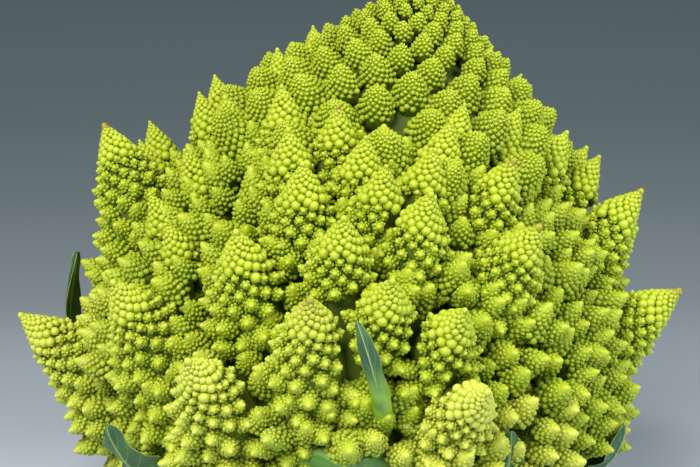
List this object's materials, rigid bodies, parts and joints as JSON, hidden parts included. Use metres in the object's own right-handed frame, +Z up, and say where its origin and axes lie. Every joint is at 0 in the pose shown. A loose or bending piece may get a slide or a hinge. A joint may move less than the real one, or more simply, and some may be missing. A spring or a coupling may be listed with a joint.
{
  "type": "romanesco head",
  "caption": "Head of romanesco: a cone of pointed, spiral-budded florets on a short cut stalk, with small leaves round its base; it stands on the stalk's cut face.",
  "frame": {"origin": "centre of the stalk's flat cut face", "axes": "+Z up the stalk, out of the face that the head stands on; the head's fuller side faces -Y and its tip leans to +X"},
  "size_m": [0.1702, 0.1789, 0.1413],
  "materials": {
    "floret": "waxy chartreuse buds with darker green between them",
    "crown": "waxy chartreuse buds, a little greener than the low florets",
    "stalk": "pale green skin and a moist, fibrous cut face",
    "leaf": "blue-green waxy blade with pale midrib and veins",
    "leaf_base": "smooth glossy green rib"
  },
  "bodies": {
    "root": {"crown": "crown", "floret_01": "floret", "floret_02": "floret", "floret_03": "floret", "floret_04": "floret", "floret_05": "floret", "floret_06": "floret", "floret_07": "floret", "floret_08": "floret", "floret_09": "floret", "floret_10": "floret", "floret_11": "floret", "floret_12": "floret", "floret_13": "floret", "floret_14": "floret", "floret_15": "floret", "floret_16": "floret", "floret_17": "floret", "floret_18": "floret", "floret_19": "floret", "floret_20": "floret", "floret_21": "floret", "floret_22": "floret", "floret_23": "floret", "floret_24": "floret", "floret_25": "floret", "floret_26": "floret", "floret_27": "floret", "floret_28": "floret", "floret_29": "floret", "floret_30": "floret", "floret_31": "floret", "floret_32": "floret", "floret_33": "floret", "floret_34": "floret", "floret_35": "floret", "floret_36": "floret", "floret_37": "floret", "floret_38": "floret", "floret_39": "floret", "floret_40": "floret", "floret_41": "floret", "floret_42": "floret", "floret_43": "floret", "floret_44": "floret", "floret_45": "floret", "floret_46": "floret", "floret_47": "floret", "floret_48": "floret", "floret_49": "floret", "floret_50": "floret", "floret_51": "floret", "leaf_back": "leaf", "leaf_front": "leaf", "leaf_left": "leaf", "leaf_low_left": "leaf", "leaf_low_right": "leaf", "leaf_right": "leaf", "leaf_stub_front": "leaf_base", "stalk": "stalk"}
  },
  "joints": []
}
